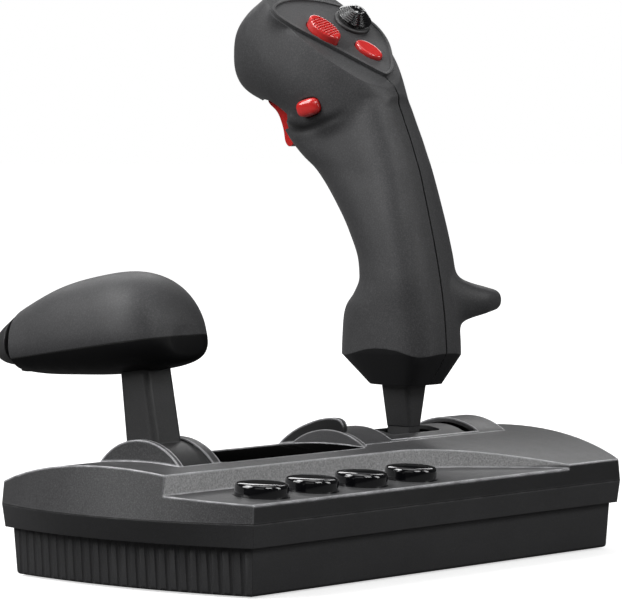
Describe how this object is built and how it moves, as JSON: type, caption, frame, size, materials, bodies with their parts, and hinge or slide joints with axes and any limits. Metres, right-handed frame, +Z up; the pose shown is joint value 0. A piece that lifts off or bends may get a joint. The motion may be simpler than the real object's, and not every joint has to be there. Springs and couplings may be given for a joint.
{
  "type": "flight joystick",
  "caption": "Flight joystick on a wide weighted base, with a tilting hand grip, thumb hat, trigger, push buttons and a hinged throttle lever with a rudder rocker.",
  "frame": {"origin": "centre of the base's rectangular footprint, at the table surface under the feet", "axes": "+X to the user's right, +Y away from the user, +Z up"},
  "size_m": [0.292, 0.1818, 0.2587],
  "materials": {
    "case_plastic": "fine satin grain",
    "case_lower": "fine satin grain, fluted ends",
    "inlay_gloss": "polished",
    "grip_soft": "soft-touch coating",
    "black_plastic": "satin",
    "cap_black": "polished domed caps",
    "cap_red": "polished",
    "feet_rubber": "moulded",
    "silicone": "moulded",
    "steel": "zinc plated",
    "ballast_steel": "bare plate",
    "board": "solder-masked laminate, modelled as plastic",
    "white_nylon": "natural nylon",
    "cable_sheath": "satin sheath"
  },
  "bodies": {
    "base": {"base_bottom_shell": "case_lower", "top_cover": "case_plastic", "tray_inlay": "inlay_gloss", "rubber_feet": "feet_rubber", "ballast_plate": "ballast_steel", "main_board": "board", "board_screws": "steel", "base_screws": "steel", "strain_relief": "cable_sheath", "cable": "cable_sheath", "button_board": "board", "button_board_screws": "steel", "gimbal_bracket": "white_nylon", "gimbal_screws": "steel", "pitch_potentiometer": "black_plastic", "pitch_spring": "steel", "throttle_washer": "white_nylon", "throttle_potentiometer": "black_plastic", "button_dome_1": "silicone", "button_dome_2": "silicone", "button_dome_3": "silicone", "button_dome_4": "silicone"},
    "pitch_cradle": {"pitch_frame": "black_plastic", "trunnion_pins": "steel", "roll_potentiometer": "black_plastic", "roll_spring": "steel"},
    "stick": {"stick_shaft": "black_plastic", "roll_pin": "steel", "grip_left": "grip_soft", "grip_right": "grip_soft", "grip_screws": "steel", "thumb_panel": "grip_soft", "thumb_board": "board", "side_board": "board", "hat_bezel": "black_plastic", "trigger_pin": "steel", "trigger_spring": "steel"},
    "hat_tilt_ring": {"hat_ring": "white_nylon"},
    "hat": {"hat_cap": "cap_black", "hat_pin": "steel"},
    "trigger": {"trigger": "cap_red"},
    "button_f2": {"button_f2": "cap_red"},
    "button_f3": {"button_f3": "cap_red"},
    "button_f4": {"button_f4": "cap_red"},
    "throttle": {"throttle_arm": "black_plastic", "throttle_axle": "steel", "throttle_head_lower": "black_plastic", "throttle_head_upper": "grip_soft", "throttle_head_screws": "steel", "rocker_pin": "steel"},
    "rudder_rocker": {"rudder_rocker": "black_plastic"},
    "base_button_1": {"base_button_1": "cap_black"},
    "base_button_2": {"base_button_2": "cap_black"},
    "base_button_3": {"base_button_3": "cap_black"},
    "base_button_4": {"base_button_4": "cap_black"}
  },
  "joints": [
    {"name": "stick_pitch", "type": "hinge", "parent": "base", "child": "pitch_cradle", "pos_m": [0.064, 0.006, 0.0215], "axis": [1, 0, 0], "range_deg": [-14, 14], "stiffness_Nm_per_rad": 2.5},
    {"name": "stick_roll", "type": "hinge", "parent": "pitch_cradle", "child": "stick", "pos_m": [0.064, 0.006, 0.0215], "axis": [0, 1, 0], "range_deg": [-14, 14], "stiffness_Nm_per_rad": 2.5},
    {"name": "throttle_lever", "type": "hinge", "parent": "base", "child": "throttle", "pos_m": [-0.10575, 0.002, 0.0325], "axis": [-1, 0, 0], "range_deg": [-32, 16]},
    {"name": "rudder_tip", "type": "hinge", "parent": "throttle", "child": "rudder_rocker", "pos_m": [-0.10575, 0.07534, 0.1004], "axis": [0, 0.1478, 0.989], "range_deg": [-6, 6], "stiffness_Nm_per_rad": 0.15},
    {"name": "trigger_pull", "type": "hinge", "parent": "stick", "child": "trigger", "pos_m": [0.064, 0.062, 0.208], "axis": [-1, 0, 0], "range_deg": [0, 9], "stiffness_Nm_per_rad": 0.2},
    {"name": "hat_sideways", "type": "hinge", "parent": "stick", "child": "hat_tilt_ring", "pos_m": [0.07486, 0.04518, 0.23713], "axis": [0.19, 0.7602, 0.6213], "range_deg": [-7, 7], "stiffness_Nm_per_rad": 0.02},
    {"name": "hat_fore_aft", "type": "hinge", "parent": "hat_tilt_ring", "child": "hat", "pos_m": [0.07486, 0.04518, 0.23713], "axis": [0.9701, -0.2425, 0], "range_deg": [-7, 7], "stiffness_Nm_per_rad": 0.02},
    {"name": "press_f2", "type": "slide", "parent": "stick", "child": "button_f2", "axis": [0.9744, 0.2009, 0.1005], "range_m": [0, 0.0012], "stiffness_N_per_m": 800},
    {"name": "press_f3", "type": "slide", "parent": "stick", "child": "button_f3", "axis": [0.1507, 0.6027, -0.7836], "range_m": [0, 0.0012], "stiffness_N_per_m": 800},
    {"name": "press_f4", "type": "slide", "parent": "stick", "child": "button_f4", "axis": [0.1507, 0.6027, -0.7836], "range_m": [0, 0.0012], "stiffness_N_per_m": 800},
    {"name": "press_base_1", "type": "slide", "parent": "base", "child": "base_button_1", "axis": [0, 0.0584, -0.9983], "range_m": [0, 0.0018], "stiffness_N_per_m": 600, "deforming": ["button_dome_1"]},
    {"name": "press_base_2", "type": "slide", "parent": "base", "child": "base_button_2", "axis": [0, 0.0584, -0.9983], "range_m": [0, 0.0018], "stiffness_N_per_m": 600, "deforming": ["button_dome_2"]},
    {"name": "press_base_3", "type": "slide", "parent": "base", "child": "base_button_3", "axis": [0, 0.0584, -0.9983], "range_m": [0, 0.0018], "stiffness_N_per_m": 600, "deforming": ["button_dome_3"]},
    {"name": "press_base_4", "type": "slide", "parent": "base", "child": "base_button_4", "axis": [0, 0.0584, -0.9983], "range_m": [0, 0.0018], "stiffness_N_per_m": 600, "deforming": ["button_dome_4"]}
  ]
}
